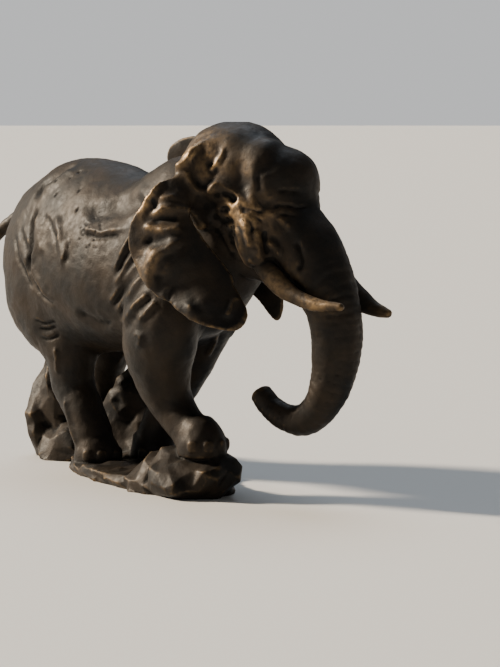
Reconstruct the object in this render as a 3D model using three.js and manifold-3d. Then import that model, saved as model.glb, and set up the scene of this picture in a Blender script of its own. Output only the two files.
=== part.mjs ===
// A walking African elephant in bronze, cast in one with the rocky ground under its feet.
// Millimetres. +X is the way the body walks, +Y is the animal's left, +Z is up, and the origin is in
// the casting's flat underside, below the middle of the body.
import * as THREE from "three";
import { mergeVertices } from "three/addons/utils/BufferGeometryUtils.js";
import Module from "manifold-3d";

const wasm = await Module();
wasm.setup();

// ---- driving dimensions ----
const GROUND = 9; // height of the ground that the hind feet stand on
const RISE = 30; // height of the rock that the right forefoot steps onto
const HEAD_AT = [98, 0, 192]; // middle of the head, between the eyes
const HEAD_TURN = 20; // degrees that the head is turned to the animal's left
const HEAD_LEAN = -4; // degrees that the head leans to its right
const EAR_THICK = [5.2, 3]; // thickness of an ear near its root and at its rim
const EYE = [17.5, 30, -3.5]; // middle of an eyeball in the head's own frame, mirrored for the right
const EYE_RADIUS = 4;
const SHORTEST = 0.6; // no edge of the faceted skin is left shorter than this

const rad = THREE.MathUtils.degToRad;
const vec = (p) => new THREE.Vector3(...p);
const curve = (points, closed = false) =>
  new THREE.CatmullRomCurve3(points.map((p) => vec(p)), closed, "catmullrom", 0.5);

// ---- the ways of making a form ----

// The closed mesh over a list of equal rings of points, with a point at each end. The rings run
// anticlockwise as seen from the last one.
function skin(rings, first, last) {
  const around = rings[0].length;
  const points = [first, ...rings.flat(), last];
  const at = (ring, i) => 1 + ring * around + (i % around);
  const end = points.length - 1;
  const top = rings.length - 1;
  const faces = [];
  for (let i = 0; i < around; i++) {
    faces.push(0, at(0, i + 1), at(0, i));
    faces.push(end, at(top, i), at(top, i + 1));
    for (let r = 0; r < top; r++) {
      faces.push(at(r, i), at(r + 1, i + 1), at(r + 1, i));
      faces.push(at(r, i), at(r, i + 1), at(r + 1, i + 1));
    }
  }
  return new THREE.BufferGeometry()
    .setAttribute("position", new THREE.Float32BufferAttribute(points.flatMap((p) => p.toArray()), 3))
    .setIndex(faces);
}

// A closed skin carried along a row of stations [x, y, z, half breadth, half depth]. Both the middle
// line and the half sizes run through the stations as Catmull-Rom curves. Breadth is measured along
// `side`, depth across it. `keel` narrows the section towards its upper side, and `ends` are the
// lengths of the rounded ends.
function loft(stations, { side = [0, 1, 0], around = 12, along = 12, ends = [6, 6], keel = 0 } = {}) {
  const line = curve(stations.map((s) => s.slice(0, 3)));
  const sizes = curve(stations.map((s) => [s[3], s[4], 0]));
  const ringAt = (t, shrink, push) => {
    const tangent = line.getTangent(t);
    const centre = line.getPoint(t).addScaledVector(tangent, push);
    const across = vec(side).addScaledVector(tangent, -vec(side).dot(tangent)).normalize();
    const over = new THREE.Vector3().crossVectors(tangent, across).normalize();
    const half = sizes.getPoint(t);
    return Array.from({ length: around }, (_, i) => {
      const a = (2 * Math.PI * i) / around;
      const breadth = half.x * Math.cos(a) * (1 - keel * Math.sin(a)) * shrink;
      const depth = half.y * Math.sin(a) * shrink;
      return centre.clone().addScaledVector(across, breadth).addScaledVector(over, depth);
    });
  };
  const rings = [];
  const capTurns = [0.35, 0.7].map((f) => (f * Math.PI) / 2);
  for (const a of capTurns) rings.push(ringAt(0, Math.sin(a), -ends[0] * Math.cos(a)));
  for (let k = 0; k <= along; k++) rings.push(ringAt(k / along, 1, 0));
  for (const a of capTurns.toReversed()) rings.push(ringAt(1, Math.sin(a), ends[1] * Math.cos(a)));
  const first = line.getPoint(0).addScaledVector(line.getTangent(0), -ends[0]);
  const last = line.getPoint(1).addScaledVector(line.getTangent(1), ends[1]);
  return skin(rings, first, last);
}

// A rounded lump with half sizes [a, b, c]: |x/a|^p + |y/b|^p + |z/c|^p = 1.
function lump([x, y, z], [a, b, c], { power = 2, detail = [14, 10] } = {}) {
  const g = new THREE.SphereGeometry(1, ...detail);
  const p = g.attributes.position;
  for (let i = 0; i < p.count; i++) {
    const v = new THREE.Vector3().fromBufferAttribute(p, i);
    const r = (Math.abs(v.x) ** power + Math.abs(v.y) ** power + Math.abs(v.z) ** power) ** (-1 / power);
    v.multiplyScalar(r);
    p.setXYZ(i, x + v.x * a, y + v.y * b, z + v.z * c);
  }
  return g;
}

// A sheet of metal inside a closed outline [across, up]. place(p, q) is the point of its middle
// surface and spread(f) its full thickness at the share f of the way from the middle to the rim.
function leaf(outline, middle, place, spread, { around = 32, rings = 5 } = {}) {
  const rim = curve(outline.map(([p, q]) => [p, q, 0]), true);
  const flat = (ring, i) => {
    const edge = rim.getPoint(i / around);
    const f = ring / rings;
    return [middle[0] + (edge.x - middle[0]) * f, middle[1] + (edge.y - middle[1]) * f];
  };
  const normal = (p, q) => {
    const h = 0.5;
    const dp = place(p + h, q).sub(place(p - h, q));
    const dq = place(p, q + h).sub(place(p, q - h));
    return dp.cross(dq).normalize();
  };
  const shifted = (p, q, by) => place(p, q).addScaledVector(normal(p, q), by);
  const ringsOf = (list, sign) => list.map((ring) =>
    Array.from({ length: around }, (_, i) => {
      const [p, q] = flat(ring, i);
      return shifted(p, q, (sign * spread(ring / rings)) / 2);
    }));
  const inward = Array.from({ length: rings }, (_, k) => k + 1);
  const back = ringsOf(inward, -1);
  const front = ringsOf(inward.toReversed(), 1);
  const first = shifted(...middle, -spread(0) / 2);
  const last = shifted(...middle, spread(0) / 2);
  return skin([...back, ...front], first, last);
}

// A half of the frame, mirrored to the right side when `hand` is -1.
function mirrored(geometry, hand) {
  if (hand > 0) return geometry;
  const g = geometry.scale(1, -1, 1);
  const index = g.index.array;
  for (let i = 0; i < index.length; i += 3) [index[i], index[i + 1]] = [index[i + 1], index[i]];
  return g;
}

// A geometry as a manifold-3d solid.
function solid(geometry) {
  const bare = geometry.clone().deleteAttribute("normal").deleteAttribute("uv");
  const merged = mergeVertices(bare, 1e-4);
  return new wasm.Manifold(new wasm.Mesh({
    numProp: 3,
    vertProperties: merged.attributes.position.array,
    triVerts: new Uint32Array(merged.index.array),
  }));
}

const union = (solids) => solids.reduce((all, one) => all.add(one));

// Draws the ends of every edge shorter than `least` together, wherever that leaves the skin closed.
function withoutShortEdges({ vertProperties, triVerts }, least) {
  const point = (v) => new THREE.Vector3().fromArray(vertProperties, 3 * v);
  const count = vertProperties.length / 3;
  const points = Array.from({ length: count }, (_, v) => point(v));
  const facesAt = Array.from({ length: count }, () => new Set());
  const faces = [];
  for (let i = 0; i < triVerts.length; i += 3) {
    faces.push([...triVerts.slice(i, i + 3)]);
    for (const v of faces.at(-1)) facesAt[v].add(faces.length - 1);
  }
  const near = (v) => new Set([...facesAt[v]].flatMap((f) => faces[f]).filter((w) => w !== v));
  const join = (a, b) => {
    for (const f of [...facesAt[b]]) {
      if (faces[f].includes(a)) {
        for (const v of faces[f]) facesAt[v].delete(f);
        faces[f] = null;
      } else {
        faces[f] = faces[f].map((v) => (v === b ? a : v));
        facesAt[a].add(f);
      }
    }
    facesAt[b].clear();
    points[a].lerp(points[b], 0.5);
  };
  for (let more = true; more;) {
    more = false;
    for (let f = 0; f < faces.length; f++) {
      for (let k = 0; k < 3 && faces[f]; k++) {
        const [a, b] = [faces[f][k], faces[f][(k + 1) % 3]];
        if (points[a].distanceTo(points[b]) >= least) continue;
        const shared = [...near(a)].filter((v) => near(b).has(v));
        if (shared.length !== 2 || facesAt[shared[0]].size < 4 || facesAt[shared[1]].size < 4) continue;
        join(a, b);
        more = true;
      }
    }
  }
  return new THREE.BufferGeometry()
    .setAttribute("position", new THREE.Float32BufferAttribute(points.flatMap((p) => p.toArray()), 3))
    .setIndex(faces.filter((f) => f).flat());
}

// ---- the body ----

const TORSO = [
  [-150, 0, 153, 20, 27],
  [-137, 0, 155, 38.5, 48],
  [-111, 0, 152.5, 48, 61.5],
  [-80, 0, 151, 51, 67.5],
  [-45, 0, 149.5, 53, 66.5],
  [-10, 0, 147, 52, 61],
  [15, 0, 148, 48, 58],
  [40, 0, 157, 42, 61],
  [60, 0, 164, 36, 61],
  [80, 0, 172, 31, 53],
  [100, 1, 184, 27, 42],
];

const LEGS = {
  foreRight: [
    [56, -22, 149, 18, 30],
    [62, -29, 129, 21, 32],
    [64, -31.5, 111, 22.5, 31],
    [60, -30, 90, 21.5, 27.5],
    [61.5, -27, 70, 17, 19.5],
    [68, -23, 55, 13.8, 14.5],
    [79, -20.5, 44, 13, 13.5],
    [88, -19, 37, 13.5, 14],
  ],
  foreLeft: [
    [50, 20, 151, 17, 30],
    [37, 26, 129, 20, 30],
    [22, 27, 105, 19, 25],
    [14, 26, 87, 16.5, 20],
    [6, 25, 72, 14.5, 16.5],
    [-4, 23.5, 58, 13.3, 14.5],
    [-16, 22, 41, 13, 14],
    [-25, 21, 25, 14, 15],
  ],
  hindRight: [
    [-100, -20, 156, 22, 38],
    [-96, -26, 131, 25, 45],
    [-84, -26.5, 110, 22.5, 38],
    [-73.5, -25, 94, 19, 26.5],
    [-68, -24, 82, 17.5, 22],
    [-68, -23, 72, 16, 19],
    [-69, -22, 62, 15, 17],
    [-63, -21.5, 53, 14.3, 15.8],
    [-56, -21, 45, 13.8, 15],
    [-50, -20.5, 35, 13.6, 14.5],
    [-45, -19.5, 25, 14, 15],
  ],
  hindLeft: [
    [-106, 20, 151, 22, 38],
    [-104, 26, 129, 24.5, 40],
    [-100, 26.5, 105, 21, 31],
    [-100, 25.5, 83, 17.5, 22],
    [-104, 24, 64, 14.8, 17],
    [-101, 23, 46, 13.6, 14.8],
    [-95, 22, 29, 14, 15],
  ],
};

// The soles: [x, y, height of the ground under them].
const FEET = [
  [94, -18.5, RISE],
  [-30, 20.5, GROUND],
  [-41, -18.5, GROUND],
  [-92, 21.5, GROUND],
];

function foot([x, y, z]) {
  return loft([
    [x - 6, y, z + 16, 11.5, 12],
    [x - 2, y, z + 10, 14.4, 15.4],
    [x, y, z + 4, 16, 17.6],
    [x, y, z - 3, 15.6, 17],
  ], { around: 14, along: 4, ends: [4, 2] });
}

// Toenails stand in an arc round the front of a foot, at these turns in degrees.
const NAILS = [-58, -20, 20, 58];

function nail([x, y, z], turn) {
  const [c, n] = [Math.cos(rad(turn)), Math.sin(rad(turn))];
  return new THREE.SphereGeometry(1, 6, 4)
    .scale(2.6, 3.6, 4.6)
    .rotateZ(rad(turn))
    .translate(x + 16.3 * c, y + 14.8 * n, z + 4.5);
}

const TAIL = [
  [-146, -2, 181, 8, 9],
  [-158, -7, 177, 6, 7],
  [-170, -12, 171, 4.8, 5.2],
  [-181, -18, 162, 4.2, 4.2],
  [-190, -23, 147, 3.6, 3.6],
  [-193, -25, 125, 3.2, 3.2],
  [-190, -24, 107, 4.6, 4.6],
  [-186, -22, 91, 2.6, 2.6],
];

// ---- the head, in its own frame: x forward, y left, z up from between the eyes ----

// Forehead and trunk in one sweep, down to the curled tip.
const TRUNK = [
  [27, 0, 20, 25, 18],
  [39, 0, 11, 26.5, 28.5],
  [50, 0, -8, 22.5, 19],
  [63, 0.5, -28, 22.5, 22.5],
  [75, 1.5, -47, 20.5, 21],
  [83.5, 3, -65, 18, 18],
  [86, 4.2, -80, 17, 17],
  [86, 5.4, -94, 15.7, 16],
  [82.6, 6.8, -111, 14, 14.2],
  [74.4, 8, -128, 12.2, 12],
  [61, 8.7, -138, 10.6, 10.4],
  [47.3, 8.5, -137.5, 9.2, 9.2],
  [34.6, 8, -131.4, 8.4, 8],
  [25.7, 7.6, -122.4, 8, 7.2],
];

const TUSK_RIGHT = [
  [32, 17, -18, 9, 9],
  [43.8, 21, -37.6, 7, 7],
  [59.3, 22, -51.7, 6.2, 6.4],
  [75.8, 23.5, -59.6, 5, 5.2],
  [92, 25, -63, 4.2, 4.2],
  [109, 26.5, -63.5, 2.6, 2.6],
];
// The left tusk leaves a heavier fold of the lip, and droops.
const TUSK_LEFT = [
  [34, 17, -20, 10, 10],
  [48, 21, -35, 10, 11],
  [63, 24, -46.5, 10, 12],
  [77, 25.5, -54, 8.6, 11],
  [90, 26, -60.5, 6.2, 7.6],
  [101, 26.3, -65, 4, 4.6],
  [110, 26.5, -67, 2.6, 2.6],
];

const SOCKET = [
  [28, 16, 2, 14, 16],
  [34, 19, -14, 14, 15],
  [40, 21, -29, 12, 12.5],
  [44, 21.5, -37, 9.5, 10],
];

const JAW = [
  [2, 0, -18, 25, 23],
  [18, 0, -32, 19, 17],
  [34, 0, -42, 11, 10],
  [46, 0, -48, 6, 6],
];

// Ears: the outline [forward, up], the middle that it is filled from, and the root line's ends.
const EAR_RIGHT = {
  outline: [
    [-2, 16], [-18, 13], [-29, -2], [-37, -17], [-36.5, -33], [-28, -47], [-14, -62], [-3, -66],
    [14, -75.5], [29, -80.5], [42, -81.5], [45, -72], [36, -56], [26, -41], [11, -24], [0, -8],
  ],
  middle: [-6, -36],
};
const EAR_LEFT = {
  outline: [
    [4, 22], [-34, 40], [-68, 46.5], [-87, 44], [-98, 34], [-92, 14], [-76, -12], [-56, -34], [-36, -51],
    [-15, -62], [2, -77], [9, -66], [12, -48], [18, -28], [20, -6],
  ],
  middle: [-28, -8],
};

// How far an ear stands out from the middle plane: it leaves the head along the line from the temple
// to the cheek, and swings outwards with the distance q behind that line.
function earReach(x, z) {
  const q = Math.max(-0.85 * (x + 6) - 0.526 * (z - 28), -8);
  return 24 + (q > 0 ? 36 * (1 - Math.exp(-q / 22)) : q);
}

function ear({ outline, middle }, hand) {
  const place = (x, z) => new THREE.Vector3(x, -earReach(x, z), z);
  const spread = (f) => EAR_THICK[0] + (EAR_THICK[1] - EAR_THICK[0]) * f * f;
  const g = leaf(outline, middle, place, spread);
  return mirrored(g, -hand);
}

const headFrame = new THREE.Matrix4()
  .makeTranslation(...HEAD_AT)
  .multiply(new THREE.Matrix4().makeRotationZ(rad(HEAD_TURN)))
  .multiply(new THREE.Matrix4().makeRotationX(rad(HEAD_LEAN)));

function pairOf(make) {
  return [mirrored(make(), 1), mirrored(make(), -1)];
}

function tusk(stations) {
  return loft(stations, { around: 8, along: 10, ends: [2, 2.6] });
}

// Folds that stand up from the skin: [x, y, z, half width, half height] along each fold's crest.
const EAR_FOLDS = [
  [
    [-20, -53, -16, 1.5, 1.5], [-10, -50, -15.5, 2.4, 2.6], [2, -44.5, -17, 2.8, 2.8],
    [-3, -50, -28, 2.8, 2.8], [-12, -55, -36, 2.8, 2.8], [-17.5, -58, -46, 2.4, 2.4],
    [-15, -58, -56, 1.8, 1.8], [-11, -57, -62, 1.2, 1.2],
  ],
  [
    [-11, -20, 38, 2, 2], [-13, -29, 26, 2.8, 3], [-8, -34.5, 14, 3, 3.2], [3, -31, 8, 2, 2.2],
  ],
  [[-8, -39, 10, 1.8, 2], [-19, -49, 2, 2.2, 2.4], [-30, -54, -8, 1.4, 1.6]],
  [[36, -43, -60, 1.4, 1.4], [33, -47, -69, 2, 2], [31, -49, -77, 1.6, 1.6]],
];
const BROWS = [
  [6, 30, 5, 2, 2], [14, 32.5, 4.5, 3, 3], [22, 31, 2, 3.2, 3], [29, 28, -6, 2, 2],
];

function head() {
  return [
    lump([5, 0, 12], [40.5, 31.5, 41], { power: 2.2, detail: [20, 14] }),
    loft(TRUNK, { around: 14, along: 30, ends: [8, 1.5] }),
    loft(JAW, { around: 12, along: 6, ends: [10, 5] }),
    mirrored(tusk(TUSK_RIGHT), -1),
    tusk(TUSK_LEFT),
    ...pairOf(() => loft(SOCKET, { around: 10, along: 5, ends: [6, 3] })),
    ...pairOf(() => lump(EYE, [EYE_RADIUS, EYE_RADIUS, EYE_RADIUS], { detail: [8, 6] })),
    ...pairOf(() => loft(BROWS, { around: 6, along: 5, ends: [2, 2] })),
    ...EAR_FOLDS.map((fold) => loft(fold, { around: 5, along: 2 * fold.length - 2, ends: [2, 2] })),
    ear(EAR_LEFT, 1),
    ear(EAR_RIGHT, -1),
  ].map((g) => g.applyMatrix4(headFrame));
}

// ---- the ground ----

const GROUND_PLAN = [
  [104, -34], [105, -18], [96, -4], [75, 16], [40, 35], [0, 46], [-60, 48], [-105, 42], [-124, 28],
  [-124, 12], [-92, -8], [-58, -30], [-20, -42], [40, -47], [88, -46],
];

function ground() {
  const plan = curve(GROUND_PLAN.map(([x, y]) => [x, y, 0]), true);
  const around = 44;
  const rings = [[0, 0.97], [3, 1], [6, 0.99], [GROUND - 1, 0.94], [GROUND, 0.6]].map(([z, grow], k) =>
    Array.from({ length: around }, (_, i) => {
      const p = plan.getPoint(i / around);
      const wave = 1 + 0.03 * Math.sin(2.1 * i + 3 * k) + 0.02 * Math.sin(3.7 * i + k);
      return new THREE.Vector3(-8 + (p.x + 8) * grow * wave, p.y * grow * wave, z);
    }));
  rings[0].forEach((p) => p.setZ(0));
  return skin(rings, new THREE.Vector3(-8, 0, 0), new THREE.Vector3(-8, 0, GROUND));
}

// Boulders: [centre], [half sizes], turn about the upright in degrees.
const ROCKS = [
  [[88, -20, 12], [31, 28, 19], 15],
  [[60, -24, 4], [26, 22, 20], 70],
  [[-139, 8, 29], [20, 26, 47], 30],
  [[-114, 4, 6], [22, 22, 22], 10],
  [[-60, 26, 21], [30, 17, 46], 200],
];

function rock([at, half, turn]) {
  const g = new THREE.IcosahedronGeometry(1, 1);
  const p = g.attributes.position;
  for (let i = 0; i < p.count; i++) {
    const v = new THREE.Vector3().fromBufferAttribute(p, i);
    v.multiplyScalar(1 + 0.09 * Math.sin(4 * v.x + 3 * v.z + turn) + 0.06 * Math.sin(7 * v.y - 5 * v.z));
    p.setXYZ(i, v.x * half[0], v.y * half[1], v.z * half[2]);
  }
  return g.rotateZ(rad(turn)).translate(...at);
}

// ---- the casting ----

const bodyParts = [
  loft(TORSO, { around: 22, along: 24, ends: [10, 14], keel: 0.17 }),
  loft(TAIL, { around: 8, along: 16, ends: [3, 5] }),
  ...Object.values(LEGS).map((stations) => loft(stations, { around: 12, along: 11, ends: [8, 4] })),
  ...FEET.map(foot),
  ...FEET.flatMap((at) => NAILS.map((turn) => nail(at, turn))),
];
const groundParts = [ground(), ...ROCKS.map(rock)];
const below = new THREE.BoxGeometry(600, 400, 200).translate(0, 0, -100);
const casting = union([...bodyParts, ...head(), ...groundParts].map(solid)).subtract(solid(below));

const geometry = withoutShortEdges(casting.getMesh(), SHORTEST).toNonIndexed();
geometry.computeVertexNormals();

const bronze = new THREE.MeshStandardMaterial({ color: 0x4a3b2a, roughness: 0.42, metalness: 0.9 });
const mesh = new THREE.Mesh(geometry, bronze);
mesh.name = "elephant_and_ground";

const group = new THREE.Group();
group.add(mesh);
export default group;
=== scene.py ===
"""A walking African elephant in bronze, cast in one with the rocky ground under its feet.

The forms are worked out in millimetres: lofts carried along paths, lumps and sheets, each a function
of two parameters on a grid. They are fused into one closed skin, worked over with folds, dabs and
nicks as a modeller works the clay, thinned, and given a dark patina that is worn on its ridges and
lightened with painted highlights on the head's lit places.
+X is the way the body walks, +Y the animal's left, +Z up, and the ground's underside is at z = 0.
"""

import bpy
import numpy as np
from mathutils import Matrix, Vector


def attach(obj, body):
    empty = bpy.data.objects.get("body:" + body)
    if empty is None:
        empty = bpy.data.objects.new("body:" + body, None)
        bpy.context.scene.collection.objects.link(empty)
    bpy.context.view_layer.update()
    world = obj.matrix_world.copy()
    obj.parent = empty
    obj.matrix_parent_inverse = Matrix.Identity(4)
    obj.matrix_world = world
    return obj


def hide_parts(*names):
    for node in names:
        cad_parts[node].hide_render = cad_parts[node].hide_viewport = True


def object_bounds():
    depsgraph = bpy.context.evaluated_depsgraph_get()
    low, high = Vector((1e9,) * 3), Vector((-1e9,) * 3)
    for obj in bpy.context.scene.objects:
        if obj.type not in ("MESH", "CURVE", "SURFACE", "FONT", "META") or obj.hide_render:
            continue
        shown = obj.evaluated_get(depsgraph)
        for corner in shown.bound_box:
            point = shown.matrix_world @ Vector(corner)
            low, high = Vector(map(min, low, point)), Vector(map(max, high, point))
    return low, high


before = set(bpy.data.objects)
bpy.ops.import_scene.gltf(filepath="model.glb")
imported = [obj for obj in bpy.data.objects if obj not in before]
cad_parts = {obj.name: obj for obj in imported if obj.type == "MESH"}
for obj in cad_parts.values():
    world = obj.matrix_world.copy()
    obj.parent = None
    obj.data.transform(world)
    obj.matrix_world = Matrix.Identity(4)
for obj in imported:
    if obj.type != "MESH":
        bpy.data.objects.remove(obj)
cad_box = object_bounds()

MM = 0.001  # a millimetre in metres; the forms are in millimetres and the finished casting in metres
GROUND = 9  # height of the ground that the hind feet stand on
RISE = 30  # height of the rock that the right forefoot steps onto
HEAD_AT = np.array([98.0, 0.0, 192.0])  # middle of the head, between the eyes
HEAD_TURN = 20  # degrees that the head is turned to the animal's left
HEAD_LEAN = -4  # degrees that the head leans to its right
COARSE = 1.5  # grain of the skin while the body, the head or the ground is worked on
FINE = 0.85  # grain of the whole casting's skin
MOST_FACES = 198000  # triangles that the casting is thinned to
STONE_FACETS = 1500  # flat facets that the ground is cut into
LATTICE = 32  # random values along each side of the block that noise repeats
LATTICE_SHIFT = 500.5  # sets the animal's middle plane half-way between two layers of the lattice

bronze_name = "elephant_and_ground_bronze"


# ---- lines and noise ----

def curve(rows, t, closed=False):
    """Uniform Catmull-Rom through the rows of points, at the shares t of the way along. With a, b, c and
    d the four points round a place, and f the share of the way from b to c, it is
    (2b + (c - a) f + (2a - 5b + 4c - d) f^2 + (3b - a - 3c + d) f^3) / 2."""
    knots = np.asarray(rows, float)
    count = len(knots)
    if closed:
        way = (t % 1.0) * count
        first = np.floor(way).astype(int)
        a, b, c, d = (knots[(first + k) % count] for k in (-1, 0, 1, 2))
    else:
        way = np.clip(t, 0, 1) * (count - 1)
        first = np.minimum(np.floor(way).astype(int), count - 2)
        knots = np.vstack([2 * knots[0] - knots[1], knots, 2 * knots[-1] - knots[-2]])
        a, b, c, d = (knots[first + k] for k in range(4))
    f = (way - first)[:, None]
    squared = (2 * a - 5 * b + 4 * c - d) * f**2
    cubed = (3 * b - a - 3 * c + d) * f**3
    return 0.5 * (2 * b + (c - a) * f + squared + cubed)


def unit(v):
    """Each row divided by its own length."""
    return v / np.maximum(np.linalg.norm(v, axis=-1, keepdims=True), 1e-9)


def smooth(x, low=0.0, high=1.0):
    """0 below low, 1 above high, and 3f^2 - 2f^3 of the share f between them."""
    f = np.clip((x - low) / (high - low), 0, 1)
    return f * f * (3 - 2 * f)


def noise(points, size, seed):
    """Random values from -1 to 1 at the corners of a lattice of cubes, blended smoothly inside each."""
    values = np.random.default_rng(seed).uniform(-1, 1, (LATTICE, LATTICE, LATTICE))
    place = points / size + LATTICE_SHIFT
    cube = np.floor(place).astype(int)
    f = smooth(place - cube)
    total = np.zeros(len(points))
    for corner in np.ndindex(2, 2, 2):
        share = np.prod(np.where(np.array(corner) == 1, f, 1 - f), axis=1)
        x, y, z = ((cube + corner) % LATTICE).T
        total += share * values[x, y, z]
    return total


def dabs(points, layers):
    """The sum of height * noise over the layers, each a height, a size and a seed."""
    return sum(height * noise(points, size, seed) for height, size, seed in layers)


def bell(offsets, radius, power=2):
    """exp(-(distance / radius)^power), the distance being each offset's length."""
    return np.exp(-((np.linalg.norm(offsets, axis=1) / radius) ** power))


def along(points, path, reach):
    """For each point: its distance from the smooth line through the path, signed in two dimensions by
    the side it lies on, and the share of the way along the line. Past `reach` the distance is infinite.
    The line is taken as straight pieces, six from one point of the path to the next."""
    pieces = 6 * (len(path) - 1)
    line = curve(path, np.linspace(0, 1, pieces + 1))
    away = np.full(len(points), np.inf)
    share = np.zeros(len(points))
    near = np.flatnonzero(np.all((points > line.min(0) - reach) & (points < line.max(0) + reach), axis=1))
    close = points[near]
    best = np.full(len(near), float(reach))
    signed = np.full(len(near), np.inf)
    where = np.zeros(len(near))
    for k, (start, stop) in enumerate(zip(line[:-1], line[1:])):
        piece = stop - start
        f = np.clip((close - start) @ piece / max(piece @ piece, 1e-9), 0, 1)
        off = close - start - f[:, None] * piece
        distance = np.linalg.norm(off, axis=1)
        closer = distance < best
        best[closer] = distance[closer]
        side = np.sign(piece[0] * off[:, 1] - piece[1] * off[:, 0]) if len(piece) == 2 else 1.0
        signed[closer] = (distance * side)[closer]
        where[closer] = ((k + f) / pieces)[closer]
    away[near] = signed
    share[near] = where
    return away, share


# ---- the ways of making a form: each gives (points, triangles) ----

def skin(rings, first, last):
    """The closed mesh over a grid of rings of points, with the points `first` and `last` as its ends."""
    count, n = rings.shape[:2]
    points = np.vstack([first, rings.reshape(-1, 3), last])
    ring = 1 + np.arange(count)[:, None] * n
    i = np.arange(n)
    j = (i + 1) % n
    low_i, low_j = ring[:-1] + i, ring[:-1] + j
    top_i, top_j = ring[1:] + i, ring[1:] + j
    end = np.full(n, len(points) - 1)
    faces = np.vstack([
        np.stack([np.zeros(n, int), 1 + j, 1 + i], axis=1),
        np.stack([low_i, top_j, top_i], axis=-1).reshape(-1, 3),
        np.stack([low_i, low_j, top_j], axis=-1).reshape(-1, 3),
        np.stack([end, ring[-1] + i, ring[-1] + j], axis=1),
    ])
    return points, faces


def loft(stations, side=(0, 1, 0), around=64, along_it=90, ends=(6, 6), keel=0.0):
    """An ellipse carried along the smooth line through the stations [x, y, z, half breadth, half depth].
    Round its turn a, a point is middle + across * b * cos a * (1 - keel * sin a) + over * d * sin a.
    Rounded ends of the lengths `ends` close it, each of five rings that shrink as a quarter circle."""
    rows = np.asarray(stations, float)
    path = rows[:, :3]
    cap = np.linspace(0, np.pi / 2, 7)[1:-1]
    share = np.concatenate([np.zeros(len(cap)), np.linspace(0, 1, along_it + 1), np.ones(len(cap))])
    shrink = np.concatenate([np.sin(cap), np.ones(along_it + 1), np.sin(cap[::-1])])
    push = np.concatenate([-ends[0] * np.cos(cap), np.zeros(along_it + 1), ends[1] * np.cos(cap[::-1])])
    carried = curve(rows, share)
    step = 1e-4
    tangent = unit(curve(path, np.minimum(share + step, 1)) - curve(path, np.maximum(share - step, 0)))
    middle = carried[:, :3] + tangent * push[:, None]
    side = np.asarray(side, float)
    across = unit(side - tangent * (tangent @ side)[:, None])
    over = np.cross(tangent, across)
    turn = np.linspace(0, 2 * np.pi, around, endpoint=False)
    wide = (carried[:, 3] * shrink)[:, None] * np.cos(turn) * (1 - keel * np.sin(turn))
    deep = (carried[:, 4] * shrink)[:, None] * np.sin(turn)
    rings = middle[:, None] + across[:, None] * wide[..., None] + over[:, None] * deep[..., None]
    return skin(rings, path[0] - tangent[0] * ends[0], path[-1] + tangent[-1] * ends[1])


def lump(at, half, power=2.0, around=48, levels=32):
    """A rounded lump: |x/a|^p + |y/b|^p + |z/c|^p = 1 round its middle, on a grid of turn and level."""
    level = np.linspace(-np.pi / 2, np.pi / 2, levels + 1)[1:-1, None]
    turn = np.linspace(0, 2 * np.pi, around, endpoint=False)
    way = np.stack([np.cos(level) * np.cos(turn), np.cos(level) * np.sin(turn),
                    np.sin(level) * np.ones_like(turn)], axis=-1)
    way *= (np.abs(way) ** power).sum(axis=-1, keepdims=True) ** (-1 / power)
    half, at = np.asarray(half, float), np.asarray(at, float)
    return skin(way * half + at, at - [0, 0, half[2]], at + [0, 0, half[2]])


def leaf(outline, middle, place, thickness, around=220, rings=34):
    """A sheet inside a closed outline: rings from the middle (share 0) to the rim (share 1), carried by
    `place` onto the sheet's surface and then half of `thickness` out along its normal, on the back and
    on the front. The rings lie at sin of equal steps, so they are closest together at the rim."""
    rim = curve(outline, np.linspace(0, 1, around, endpoint=False), closed=True)
    share = np.sin(np.linspace(0, 1, rings + 1)[1:] * np.pi / 2)
    middle = np.asarray(middle, float)
    flat = middle + (rim - middle) * share[:, None, None]
    step = 0.5

    def shifted(flat, share, sign):
        x, z = flat[..., 0], flat[..., 1]
        along_x = place(x + step, z) - place(x - step, z)
        along_z = place(x, z + step) - place(x, z - step)
        normal = unit(np.cross(along_x, along_z))
        return place(x, z) + normal * (sign * thickness(share) / 2)[..., None]

    shares = np.repeat(share[:, None], around, axis=1)
    back = shifted(flat, shares, -1)
    front = shifted(flat[::-1], shares[::-1], 1)
    first, last = (shifted(middle[None], np.zeros(1), sign)[0] for sign in (-1, 1))
    return skin(np.concatenate([back, front]), first, last)


def mirrored(form):
    """The form on the animal's other side, its triangles turned round to face outwards again."""
    points, faces = form
    return points * [1, -1, 1], faces[:, ::-1]


def both(form):
    """The form and its mirror."""
    return [form, mirrored(form)]


def joined(forms):
    """All the forms' points and triangles in one pair of arrays."""
    starts = np.cumsum([0] + [len(points) for points, _ in forms[:-1]])
    return np.vstack([p for p, _ in forms]), np.vstack([f + s for (_, f), s in zip(forms, starts)])


def upright_turn(degrees):
    """The matrix of a turn about the upright axis, from +X towards +Y."""
    c, s = np.cos(np.radians(degrees)), np.sin(np.radians(degrees))
    return np.array([[c, -s, 0], [s, c, 0], [0, 0, 1]])


def moved(form, matrix, offset):
    """The form's points turned by the matrix and then moved by the offset."""
    return form[0] @ matrix.T + offset, form[1]


# ---- from forms to a skin that can be worked ----

def read(items, name, width, kind=float):
    """One property of all the items as an array, `width` numbers a row."""
    values = np.empty(len(items) * width, kind)
    items.foreach_get(name, values)
    return values.reshape(-1, width) if width > 1 else values


def mesh_of(name, points, faces):
    """A mesh of the points and triangles."""
    mesh = bpy.data.meshes.new(name)
    mesh.vertices.add(len(points))
    mesh.vertices.foreach_set("co", points.ravel())
    mesh.loops.add(faces.size)
    mesh.loops.foreach_set("vertex_index", faces.ravel().astype(np.int32))
    mesh.polygons.add(len(faces))
    mesh.polygons.foreach_set("loop_start", np.arange(0, faces.size, 3, dtype=np.int32))
    mesh.update(calc_edges=True)
    return mesh


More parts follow.
